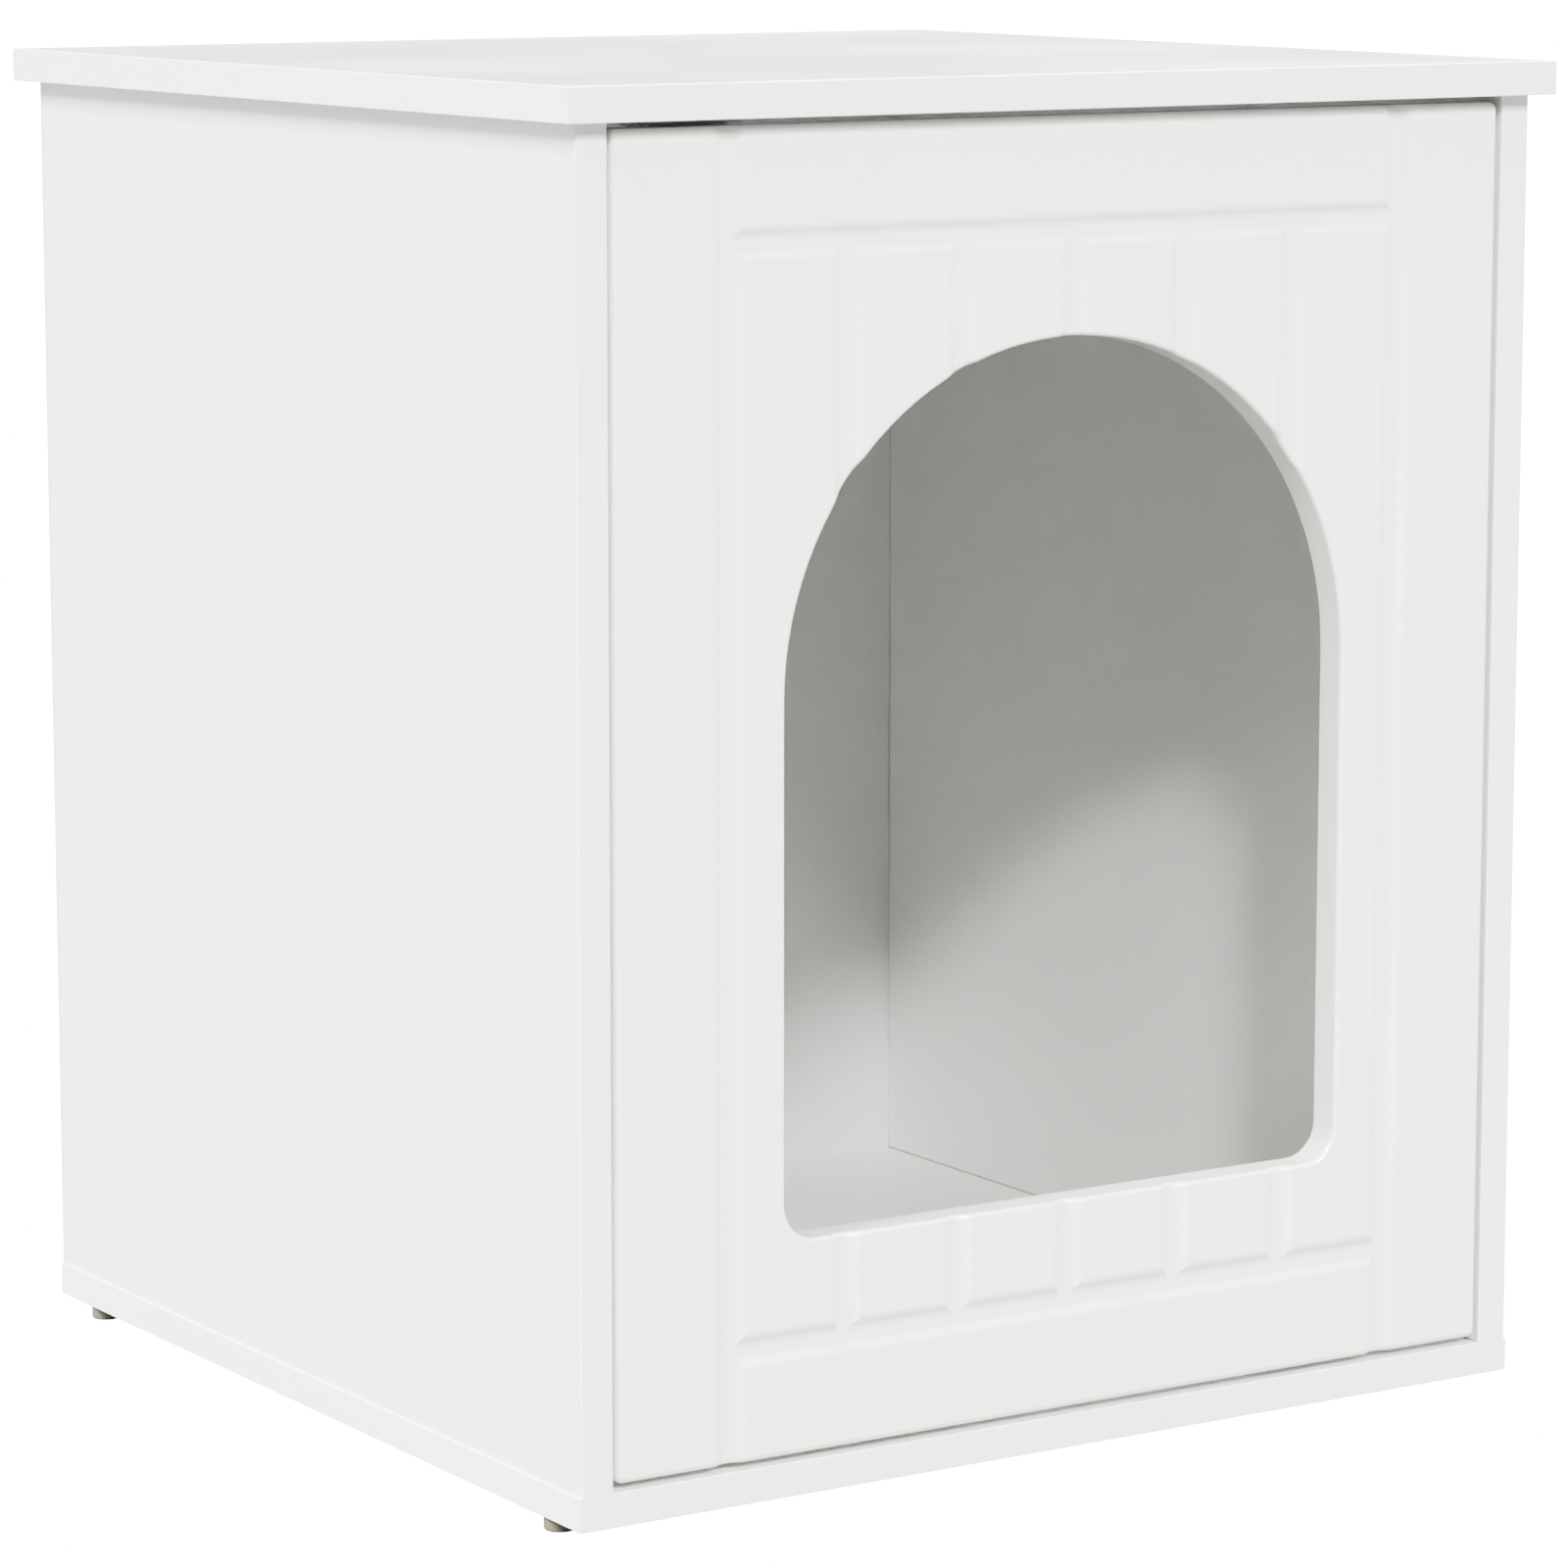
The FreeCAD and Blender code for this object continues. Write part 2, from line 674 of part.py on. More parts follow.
def door_panel():
    piece = body("door_panel", "0", "front_y", "door_mid_z")
    leaf = sketch_on(piece, "XZ_Plane")
    trace(leaf, rounded_rectangle("door_width / 2", "door_height / 2", "door_corner_round"))
    extrude(piece, "Pad", leaf, "door_thickness", reverse=True)
    doorway = sketch_on(piece, "XZ_Plane")
    trace(doorway, arch_outline())
    extrude(piece, "Pocket", doorway)
    stiles = sketch_on(piece, "XY_Plane")
    for sign in SIDES.values():
        trace(stiles, groove_outline(f"{sign} * stile_groove_x"))
    extrude(piece, "Pocket", stiles, "door_height + 2 * overrun", symmetric=True)
    rails = sketch_on(piece, "YZ_Plane")
    for sign in HINGES.values():
        trace(rails, swapped(groove_outline(f"{sign} * rail_groove_z")))
    extrude(piece, "Pocket", rails, "2 * stile_groove_x", symmetric=True)
    beads = sketch_on(piece, "XY_Plane")
    for count in range(BEADS):
        trace(beads, groove_outline(f"stile_groove_x * {2 * (count + 1)} / {BEADS + 1} - stile_groove_x"))
    extrude(piece, "Pocket", beads, "2 * rail_groove_z", symmetric=True)
    round_fronts(piece, "door_edge_round", lambda middle: not in_arch(middle))
    round_fronts(piece, "arch_edge_round", in_arch)
    cups = sketch_on(piece, "XZ_Plane", "-door_thickness")
    for sign in HINGES.values():
        circle(cups, "cup_x", f"{sign} * hinge_half_span", "cup_radius")
    extrude(piece, "Pocket", cups, "cup_depth", reverse=True)
    pilots = sketch_on(piece, "XZ_Plane", "-door_thickness")
    for z in cup_screw_heights():
        circle(pilots, "cup_x - wing_offset", f"{z} - door_mid_z", "screw_radius + fit")
    extrude(piece, "Pocket", pilots, "cup_screw_length - flange_thickness + drill_spare", reverse=True)
    pilots = sketch_on(piece, "XZ_Plane", "-door_thickness")
    for x in strike_screw_places():
        circle(pilots, x, "catch_z - door_mid_z", "screw_radius + fit")
    extrude(piece, "Pocket", pilots, "strike_screw_length - strike_thickness + drill_spare", reverse=True)


# Concealed hinges: the cup and pin ride on the door, the arm and plate stay on the right side panel

def hinge_z(sign):
    return f"door_mid_z + {sign} * hinge_half_span"


def cup_screw_heights():
    return [f"{hinge_z(sign)} + {way} * cup_screw_spacing / 2" for sign in HINGES.values()
            for way in SIDES.values()]


def plate_screw_heights():
    return [f"{hinge_z(sign)} + {way} * plate_screw_spacing / 2" for sign in HINGES.values()
            for way in SIDES.values()]


def hinge_cup(label, z):
    """A drawn steel cup with a rim and two screw wings, measured from the middle of its rim."""
    piece = body(label, "cup_x", "door_back_y", z)
    shell = sketch_on(piece, "XZ_Plane")
    circle(shell, "0", "0", "cup_outer_radius")
    extrude(piece, "Pad", shell, "cup_depth - fit")
    rim = sketch_on(piece, "XZ_Plane")
    circle(rim, "0", "0", "flange_radius")
    extrude(piece, "Pad", rim, "flange_thickness", reverse=True)
    wings = sketch_on(piece, "XZ_Plane")
    trace(wings, [("-wing_offset - wing_width / 2", "-wing_length / 2"),
                  ("wing_width / 2 - wing_offset", "-wing_length / 2"),
                  ("wing_width / 2 - wing_offset", "wing_length / 2"),
                  ("-wing_offset - wing_width / 2", "wing_length / 2")])
    extrude(piece, "Pad", wings, "flange_thickness", reverse=True)
    hollow = sketch_on(piece, "XZ_Plane", "-flange_thickness")
    circle(hollow, "0", "0", "cup_inner_radius")
    extrude(piece, "Pocket", hollow, "flange_thickness + cup_depth - fit - cup_wall", reverse=True)
    screws = sketch_on(piece, "XZ_Plane", "-flange_thickness")
    for way in SIDES.values():
        circle(screws, "-wing_offset", f"{way} * cup_screw_spacing / 2", "screw_radius + fit")
    extrude(piece, "Pocket", screws, "flange_thickness", reverse=True)
    seat = sketch_on(piece, "XY_Plane")
    circle(seat, "cup_shift", "pivot_depth - door_thickness", "pin_radius + fit")
    extrude(piece, "Pocket", seat, "pin_length + fit", symmetric=True)


def hinge_arm(label, z):
    """A bent steel strip with a rolled eye round the pin, measured from the pin's middle."""
    piece = body(label, "pivot_x", "pivot_y", z)
    barrel = sketch_on(piece, "XY_Plane")
    circle(barrel, "0", "0", "eye_radius")
    extrude(piece, "Pad", barrel, "eye_length", symmetric=True)
    half, slant = "arm_thickness / 2", "arm_thickness * sqrt(0.5)"
    bend = f"({slant} - {half})"
    strip = sketch_on(piece, "XY_Plane")
    trace(strip, [("0", f"-{slant}"),
                  ("0", slant),
                  (f"{half} - neck_reach", f"neck_reach + {bend}"),
                  (f"{half} - neck_reach", f"arm_back - {half}"),
                  (f"strip_x + {half}", f"arm_back - {half}"),
                  (f"strip_x + {half}", "arm_back + arm_length"),
                  (f"strip_x - {half}", "arm_back + arm_length"),
                  (f"strip_x - {half}", f"arm_back + {half}"),
                  (f"-neck_reach - {half}", f"arm_back + {half}"),
                  (f"-neck_reach - {half}", f"neck_reach - {bend}")])
    extrude(piece, "Pad", strip, "arm_width", symmetric=True)
    bore = sketch_on(piece, "XY_Plane")
    circle(bore, "0", "0", "pin_radius + fit")
    extrude(piece, "Pocket", bore, "eye_length + overrun", symmetric=True)
    screws = sketch_on(piece, "YZ_Plane")
    for offset in ("adjust_screw_offset", "fixing_screw_offset"):
        circle(screws, f"arm_back + {offset}", "0", "arm_screw_radius + arm_screw_play")
    extrude(piece, "Pocket", screws, "2 * hinge_reach", symmetric=True)


def hinge_plate(label, z):
    """The block that the arm is screwed to, with two screw wings flat on the side panel."""
    y = "pivot_y + arm_back"
    bar = block(label + "_bar", "plate_thickness", "plate_length", "plate_width",
                "inner_x - plate_thickness", y, f"{z} - plate_width / 2")
    wing = block(label + "_wing", "plate_wing_thickness", "plate_wing_width", "plate_wing_length",
                 "inner_x - plate_wing_thickness", f"{y} + plate_wing_offset - plate_wing_width / 2",
                 f"{z} - plate_wing_length / 2")
    holes = [rod("arm_screw_hole", "arm_screw_radius + fit", "plate_thickness",
                 "inner_x - plate_thickness", f"{y} + {offset}", z, "X")
             for offset in ("adjust_screw_offset", "fixing_screw_offset")]
    holes += [rod("plate_screw_hole", "screw_radius + fit", "plate_wing_thickness",
                  "inner_x - plate_wing_thickness", f"{y} + plate_wing_offset",
                  f"{z} + {way} * plate_screw_spacing / 2", "X") for way in SIDES.values()]
    node(cut(label, fuse(label + "_bare", [bar, wing]), holes), label)


def hinges():
    arm_screws = []
    for name, sign in HINGES.items():
        z = hinge_z(sign)
        hinge_cup(name + "_hinge_cup", z)
        pin = rod(name + "_hinge_pin", "pin_radius", "pin_length",
                  "pivot_x", "pivot_y", f"{z} - pin_length / 2")
        node(pin, name + "_hinge_pin")
        hinge_arm(name + "_hinge_arm", z)
        hinge_plate(name + "_hinge_plate", z)
        for offset in ("adjust_screw_offset", "fixing_screw_offset"):
            arm_screws.append(headed("arm_screw", ("arm_screw_head_radius", "arm_screw_head_height"),
                                     "arm_screw_radius", "arm_thickness + plate_thickness",
                                     "inner_x - plate_thickness - arm_thickness",
                                     f"pivot_y + arm_back + {offset}", z, "X"))
    group("hinge_arm_screws", arm_screws)
    small_head = ("screw_head_radius", "screw_head_height")
    group("hinge_cup_screws",
          [headed("cup_screw", small_head, "screw_radius", "cup_screw_length", "cup_x - wing_offset",
                  "door_back_y + flange_thickness", z, "-Y") for z in cup_screw_heights()])
    group("hinge_plate_screws",
          [headed("plate_screw", small_head, "screw_radius", "plate_screw_length",
                  "inner_x - plate_wing_thickness", "pivot_y + arm_back + plate_wing_offset", z, "X")
           for z in plate_screw_heights()])


# Magnetic catch under the top panel, and its strike on the door

def magnetic_catch():
    stack = "magnet_height + 2 * pole_thickness"
    case = block("catch_case", "catch_length", "catch_depth", "catch_height",
                 "catch_x - catch_length / 2", "housing_y", "ceiling_z - catch_height")
    lugs = block("catch_lugs", "lug_length", "catch_depth", "lug_thickness",
                 "catch_x - lug_length / 2", "housing_y", "ceiling_z - lug_thickness")
    left = "catch_x - magnet_length / 2"
    nest = block("catch_nest", "magnet_length + 2 * fit", "pole_depth - pole_stand + fit",
                 f"{stack} + 2 * fit", f"{left} - fit", "housing_y", f"catch_z - ({stack}) / 2 - fit")
    holes = [rod("lug_hole", "screw_radius + fit", "lug_thickness", x, "housing_y + catch_depth / 2",
                 "ceiling_z - lug_thickness") for x in catch_screw_places()]
    node(cut("catch_housing", fuse("catch_bare", [case, lugs]), [nest] + holes), "catch_housing")
    magnet = block("catch_magnet", "magnet_length", "magnet_depth", "magnet_height",
                   left, "catch_y + pole_depth - magnet_depth", "catch_z - magnet_height / 2")
    node(magnet, "catch_magnet")
    group("catch_pole_plates",
          [block("pole_plate", "magnet_length", "pole_depth", "pole_thickness", left, "catch_y", z)
           for z in ("catch_z + magnet_height / 2", "catch_z - magnet_height / 2 - pole_thickness")])
    group("catch_screws",
          [headed("catch_screw", ("screw_head_radius", "screw_head_height"), "screw_radius",
                  "catch_screw_length", x, "housing_y + catch_depth / 2", "ceiling_z - lug_thickness")
           for x in catch_screw_places()])


def catch_screw_places():
    return [f"catch_x + {sign} * lug_screw_x" for sign in SIDES.values()]


def strike_screw_places():
    return [f"catch_x + {sign} * strike_screw_spacing / 2" for sign in SIDES.values()]


def strike():
    plate = block("strike_blank", "strike_width", "strike_thickness", "strike_height",
                  "catch_x - strike_width / 2", "door_back_y", "catch_z - strike_height / 2")
    holes = [rod("strike_hole", "screw_radius + fit", "strike_thickness", x, "door_back_y", "catch_z", "Y")
             for x in strike_screw_places()]
    node(cut("strike_plate", plate, holes), "strike_plate")
    group("strike_screws",
          [headed("strike_screw", ("screw_head_radius", "screw_head_height"), "screw_radius",
                  "strike_screw_length", x, "door_back_y + strike_thickness", "catch_z", "-Y")
           for x in strike_screw_places()])


# Build, test and write

def make():
    fill_sheet()
    top_panel()
    bottom_panel()
    for side, sign in SIDES.items():
        side_panel(side, sign)
    back_panel()
    edge_bands()
    feet()
    cam_fittings()
    dowels()
    bottom_screws()
    door_panel()
    hinges()
    magnetic_catch()
    strike()
    doc.recompute()


def test():
    for thing in doc.Objects:
        if "Invalid" in thing.State or "Error" in thing.State:
            raise RuntimeError(thing.Label + " failed: " + ", ".join(thing.State))
    for piece in nodes:
        if piece.Shape.isNull() or not piece.Shape.isValid() or not piece.Shape.Solids:
            raise RuntimeError(piece.Label + " has no valid solid")


def write():
    os.makedirs("parts", exist_ok=True)
    for piece in nodes:
        piece.Shape.exportStep(f"parts/{piece.Label}.step")
        print(f"{piece.Label}: {len(piece.Shape.Solids)} solid(s), {piece.Shape.Volume:.0f} mm3")


make()
test()
write()
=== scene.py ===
# %% [markdown]
# # A white cat house
#
# The object is a small flat-pack cabinet for a cat: coated boards, an inset door with moulded
# grooves and an arched opening, and four small glides. Its solids come ready made from the packed
# frame, at full size and in metres. This lesson gives every surface its finish, adds the small
# hardware that a plain solid can't show, and sets up the camera and the light.

# %% Load the frame
import bpy
import json
import math
from mathutils import Euler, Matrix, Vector


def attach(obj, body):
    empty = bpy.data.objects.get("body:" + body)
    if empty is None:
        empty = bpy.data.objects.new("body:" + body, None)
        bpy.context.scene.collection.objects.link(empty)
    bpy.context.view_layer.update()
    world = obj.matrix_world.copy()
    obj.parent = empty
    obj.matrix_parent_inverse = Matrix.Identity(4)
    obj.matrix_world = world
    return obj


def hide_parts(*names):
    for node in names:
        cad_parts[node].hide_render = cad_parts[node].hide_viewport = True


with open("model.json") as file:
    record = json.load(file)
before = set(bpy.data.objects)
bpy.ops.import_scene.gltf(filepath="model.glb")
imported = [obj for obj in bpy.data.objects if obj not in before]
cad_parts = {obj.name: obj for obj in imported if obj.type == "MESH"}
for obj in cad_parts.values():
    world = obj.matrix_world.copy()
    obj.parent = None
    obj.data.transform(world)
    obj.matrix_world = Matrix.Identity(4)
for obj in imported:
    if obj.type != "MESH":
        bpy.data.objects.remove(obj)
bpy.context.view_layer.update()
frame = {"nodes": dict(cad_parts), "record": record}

# %% [markdown]
# ## Shader maths
#
# A finish is a small network of nodes. Adding and linking each node by hand takes many lines, so
# one class wraps a node's output and lets it be added, multiplied and subtracted like a number,
# and one method adds any other kind of node. A finish then reads like the sum that it is.

# %% Wires between shader nodes
class Wire:
    """The output of a shader node, which can be used like a number."""

    def __init__(self, tree, socket):
        self.tree = tree
        self.socket = socket

    def add(self, kind, settings, values, output=0):
        """Add a node: its settings first, then the values or wires of its sockets."""
        node = self.tree.nodes.new("ShaderNode" + kind)
        for name, setting in settings.items():
            setattr(node, name, setting)
        for key, value in values.items():
            if isinstance(value, Wire):
                self.tree.links.new(value.socket, node.inputs[key])
            else:
                node.inputs[key].default_value = value
        return Wire(self.tree, node.outputs[output])

    def math(self, operation, first, second):
        return self.add("Math", {"operation": operation}, {0: first, 1: second})

    def __add__(self, other):
        return self.math("ADD", self, other)

    def __sub__(self, other):
        return self.math("SUBTRACT", self, other)

    def __rsub__(self, other):
        return self.math("SUBTRACT", other, self)

    def __mul__(self, other):
        return self.math("MULTIPLY", self, other)

    __radd__ = __add__
    __rmul__ = __mul__

    def noise(self, scale, detail=2.0, stretch=(1, 1, 1)):
        """Cloudy noise from 0 to 1 on the piece's own coordinates, drawn out along an axis."""
        place = self.add("Mapping", {}, {"Vector": self, "Scale": stretch})
        return self.add("TexNoise", {}, {"Vector": place, "Scale": scale, "Detail": detail})

    def between(self, low, high):
        """Blend two colours by this wire."""
        # A Mix node has sockets for every kind of value. These are the ones for colours.
        factor, first, second, result = 0, 6, 7, 2
        return self.add("Mix", {"data_type": "RGBA"},
                        {factor: self, first: (*low, 1), second: (*high, 1)}, output=result)


class Finish:
    """A material with its shader, filled in step by step."""

    def __init__(self, name, **constant):
        self.material = bpy.data.materials.new(name)
        self.material.use_nodes = True
        tree = self.material.node_tree
        self.shader = tree.nodes["Principled BSDF"]
        self.place = Wire(tree, None).add("TexCoord", {}, {}, output="Object")
        for key, value in constant.items():
            socket = key.replace("_", " ").title().replace("Ior", "IOR")
            self.shader.inputs[socket].default_value = value

    def feed(self, socket, wire):
        wire.tree.links.new(wire.socket, self.shader.inputs[socket])

    def bump(self, height, strength, distance):
        """Raise and sink the surface by a wire, in metres."""
        self.feed("Normal", height.add("Bump", {}, {"Height": height, "Strength": strength,
                                                     "Distance": distance}))


finishes = {}
print("shader helpers ready")

# %% [markdown]
# ## White coated board
#
# The boards are chipboard with a white melamine face. Close up the face isn't flat: it has a fine
# pebbled press texture, faint clouds of shade, and patches that shine a little more where they
# have been wiped. A photograph of a board would fix those marks to one size, so the finish is
# made of noise on the piece's own coordinates. Two scales of noise make the clouds and the
# pebbles.

# %% Board finish
GLOSS = 2.2  # index of refraction of a coat that mirrors as clearly as the photo's boards do


def white_face(name, dark, light, roughness, pebble, lift):
    """A white coated face: clouds of shade, wiped patches and a fine pebbled texture."""
    finish = Finish(name, ior=GLOSS)
    clouds = finish.place.noise(14, detail=5)
    pebbles = finish.place.noise(pebble, detail=3)
    wiped = finish.place.noise(5, detail=3, stretch=(1, 1, 0.4))
    finish.feed("Base Color", (0.4 * clouds + 0.6 * pebbles).between(dark, light))
    finish.feed("Roughness", roughness + 0.10 * wiped)
    finish.bump(pebbles, strength=0.35, distance=lift)
    return finish


finishes["white_board"] = white_face("white_board", (0.775, 0.775, 0.769), (0.885, 0.885, 0.881),
                                     roughness=0.09, pebble=900, lift=0.00003)
print("board finish:", len(finishes["white_board"].material.node_tree.nodes), "nodes")

# %% [markdown]
# ## Door film
#
# The door is fibreboard with its grooves milled in and a white film pressed over the whole front.
# The film is smoother than the boards but rides over the fibres in soft waves a few millimetres
# long, like orange peel. The same kind of finish does, with broader and lower pebbles.

# %% Door finish
finishes["door_lacquer"] = white_face("door_lacquer", (0.868, 0.868, 0.852), (0.894, 0.894, 0.878),
                                      roughness=0.11, pebble=260, lift=0.00004)
print("door finish:", len(finishes["door_lacquer"].material.node_tree.nodes), "nodes")

# %% [markdown]
# ## Hardboard back
#
# The thin back is pressed fibre with a white coat. The coat is duller than the boards and the
# fibres show through as short, pale flecks that lie in all directions.

# %% Hardboard finish
def hardboard():
    finish = Finish("back_hardboard", ior=GLOSS)
    flecks = finish.place.noise(420, detail=4, stretch=(1, 1, 0.35))
    clouds = finish.place.noise(9, detail=4)
    shade = 0.6 * clouds + 0.4 * flecks
    finish.feed("Base Color", shade.between((0.720, 0.720, 0.717), (0.805, 0.805, 0.803)))
    finish.feed("Roughness", 0.14 + 0.12 * flecks)
    finish.bump(flecks, strength=0.4, distance=0.00005)
    return finish


finishes["back_hardboard"] = hardboard()
print("hardboard finish ready")

# %% [markdown]
# ## Edge bands
#
# Each visible edge is closed by a glued plastic strip. It is a slightly cooler white than the
# faces, and it was drawn and scraped along its length, so its faint lines run that way. The
# stretch of the noise sets the direction, which means one finish for each way that a band can
# lie.

# %% Band finishes
def band(name, stretch):
    finish = Finish(name, ior=GLOSS)
    lines = finish.place.noise(700, detail=3, stretch=stretch)
    clouds = finish.place.noise(25, detail=3)
    finish.feed("Base Color", clouds.between((0.830, 0.876, 0.890), (0.858, 0.904, 0.918)))
    finish.feed("Roughness", 0.18 + 0.14 * lines)
    finish.bump(lines, strength=0.3, distance=0.00004)
    return finish


DRAWN = 0.02  # share of the noise's frequency that is left along a band
ALONG = {"front": (DRAWN, 1, 1), "back": (DRAWN, 1, 1), "left": (1, DRAWN, 1),
         "right": (1, DRAWN, 1), "side": (1, 1, DRAWN)}
band_finishes = {way: band("edge_band_" + way, stretch) for way, stretch in ALONG.items()}
print("band finishes:", len(band_finishes))

# %% [markdown]
# ## Moulded plastics
#
# The glides, the caps over the cam fittings and the case of the magnetic catch are moulded
# plastic: an even colour with a fine spark-eroded grain, and a sheen that varies a little over
# the piece.

# %% Plastic finishes
def plastic(name, dark, light, roughness, grain):
    finish = Finish(name)
    speckle = finish.place.noise(grain, detail=2)
    finish.feed("Base Color", finish.place.noise(60, detail=4).between(dark, light))
    finish.feed("Roughness", roughness + 0.18 * speckle)
    finish.bump(speckle, strength=0.3, distance=0.00005)
    return finish


PLASTICS = {  # dark and light colour, roughness, scale of the grain
    "glide_plastic": ((0.150, 0.140, 0.108), (0.195, 0.182, 0.142), 0.45, 2500),
    "cap_plastic": ((0.790, 0.790, 0.775), (0.830, 0.830, 0.815), 0.32, 1800),
    "catch_plastic": ((0.760, 0.760, 0.740), (0.810, 0.810, 0.790), 0.35, 1800),
    "magnet_ferrite": ((0.035, 0.035, 0.038), (0.075, 0.075, 0.080), 0.55, 4000),
}
for name, values in PLASTICS.items():
    finishes[name] = plastic(name, *values)
print("plastic finishes:", len(PLASTICS))

# %% [markdown]
# ## Metals
#
# The hinges are nickel plated, the screws and nails zinc plated, and the cam nuts die cast.
# Plated pressings keep the fine lines of the rolled strip; castings have a frosty, cloudy skin.
# The lines are noise drawn out along one axis, and they change the roughness more than the
# colour.

# %% Metal finishes
def metal(name, dark, light, roughness, scale, stretch):
    finish = Finish(name, metallic=1.0)
    marks = finish.place.noise(scale, detail=4, stretch=stretch)
    clouds = finish.place.noise(120, detail=3)
    finish.feed("Base Color", (0.5 * marks + 0.5 * clouds).between(dark, light))
    finish.feed("Roughness", roughness + 0.16 * marks)
    finish.bump(marks, strength=0.25, distance=0.00003)
    return finish


METALS = {  # dark and light colour, roughness, scale and stretch of the marks
    "hinge_nickel": ((0.60, 0.58, 0.54), (0.67, 0.65, 0.60), 0.16, 900, (1, 0.2, 1)),
    "fastener_steel": ((0.52, 0.53, 0.54), (0.66, 0.67, 0.67), 0.28, 2500, (1, 1, 1)),
    "plate_steel": ((0.48, 0.48, 0.48), (0.60, 0.60, 0.60), 0.26, 1800, (0.05, 1, 1)),
    "cam_zinc": ((0.45, 0.45, 0.44), (0.58, 0.58, 0.56), 0.38, 900, (1, 1, 1)),
}
for name, values in METALS.items():
    finishes[name] = metal(name, *values)
print("metal finishes:", len(METALS))

# %% [markdown]
# ## Beech dowels
#
# The dowels are hidden in their holes, but a part in a library is looked at in pieces too. Beech
# has short dark flecks along the grain on a pale ground.

# %% Dowel finish
def beech():
    finish = Finish("dowel_wood")
    grain = finish.place.noise(1400, detail=3, stretch=(1, 1, 0.05))
    flecks = finish.place.noise(2600, detail=2, stretch=(1, 1, 0.15))
    shade = 0.7 * grain + 0.3 * flecks
    finish.feed("Base Color", shade.between((0.40, 0.24, 0.12), (0.72, 0.54, 0.35)))
    finish.feed("Roughness", 0.55 + 0.2 * grain)
    finish.bump(grain, strength=0.4, distance=0.00008)
    return finish


finishes["dowel_wood"] = beech()
print("dowel finish ready")

# %% [markdown]
# ## Dress the solids
#
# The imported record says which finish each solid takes. Its place and shape stay as they are, and
# only the material in its slot changes. The bands look up the finish for the way that they lie.

# %% Finishes on the solids
SLOTS = {part["node"]: part["material_slot"] for part in frame["record"]["subparts"]}


def finish_for(node):
    """A band's name is the panel and the way it lies, such as top_front_band."""
    if SLOTS[node] == "edge_band":
        return band_finishes[node.split("_")[1]]
    return finishes[SLOTS[node]]


for node in SLOTS:
    for holder in frame["nodes"][node].material_slots:
        holder.material = finish_for(node).material
print("dressed", len(SLOTS), "solids")

# %% [markdown]
# ## Turned hardware
#
# Screws, nails and cap plugs are round about one axis, because they are headed or moulded in
# round tools. They could be spun from a half outline, but an open outline with its ends on the
# axis leaves poles to merge. A filled circle that is extruded and scaled from ring to ring, as a
# lathe cuts from end to end, stays closed all the way.

# %% A lathe
MM = 0.001
SMOOTH = math.radians(32)  # faces that meet at less than this angle are shaded as one


def turn_on_lathe(name, rings, sides=28):
    """A round piece along +Z through rings of (radius, height), both in millimetres."""
    bpy.ops.object.select_all(action="DESELECT")
    bpy.ops.mesh.primitive_circle_add(vertices=sides, radius=rings[0][0] * MM, fill_type="NGON",
                                      location=(0, 0, rings[0][1] * MM))
    piece = bpy.context.active_object
    piece.name = name
    bpy.ops.object.transform_apply(location=True)
    bpy.ops.object.mode_set(mode="EDIT")
    bpy.ops.mesh.select_all(action="SELECT")
    for (here, low), (there, high) in zip(rings, rings[1:]):
        rise = (high - low) * MM
        bpy.ops.mesh.extrude_region_move(TRANSFORM_OT_translate={"value": (0, 0, rise)})
        bpy.ops.transform.resize(value=(there / here, there / here, 1), center_override=(0, 0, 0))
    bpy.ops.mesh.select_all(action="SELECT")
    bpy.ops.mesh.normals_make_consistent(inside=False)
    bpy.ops.object.mode_set(mode="OBJECT")
    bpy.ops.object.shade_smooth_by_angle(angle=SMOOTH)
    return piece


def thread(root, crest, start, end, pitch):
    """Rings of a screw thread, from its pointed end at the start up to the end."""
    point, taper, plain = 0.3, 1.2, 0.4  # radius and length of the tip, length without a thread
    rings = [(point, start), (root, start + taper)]
    turns = int((end - start - taper - plain) / pitch)
    for turn in range(turns):
        foot = start + taper + turn * pitch
        rings += [(crest, foot + 0.45 * pitch), (crest, foot + 0.55 * pitch), (root, foot + pitch)]
    return rings + [(root, end)]


DOME = ((1, 0), (1, 0.3), (0.93, 0.62), (0.76, 0.85), (0.5, 0.96), (0.2, 1))  # shares across and up


def dome(radius, low, high):
    """Rings of a round head, from its edge to its crown."""
    return [(across * radius, low + up * (high - low)) for across, up in DOME]


print("lathe ready")

# %% [markdown]
# ## Cross recess and hex socket
#
# A screw is known by its drive. A cross recess is a plus sign that narrows downwards, so it
# starts as a cube whose four sides are extruded, and the bottom is then drawn in. A Boolean cuts
# it out of the head, as the heading punch does. The long screws under the floor have a hex socket
# instead, cut by a six-sided prism.

# %% Drives
SPARE = 0.1  # half of what a bit is longer than its cut, so that it stands out of the head


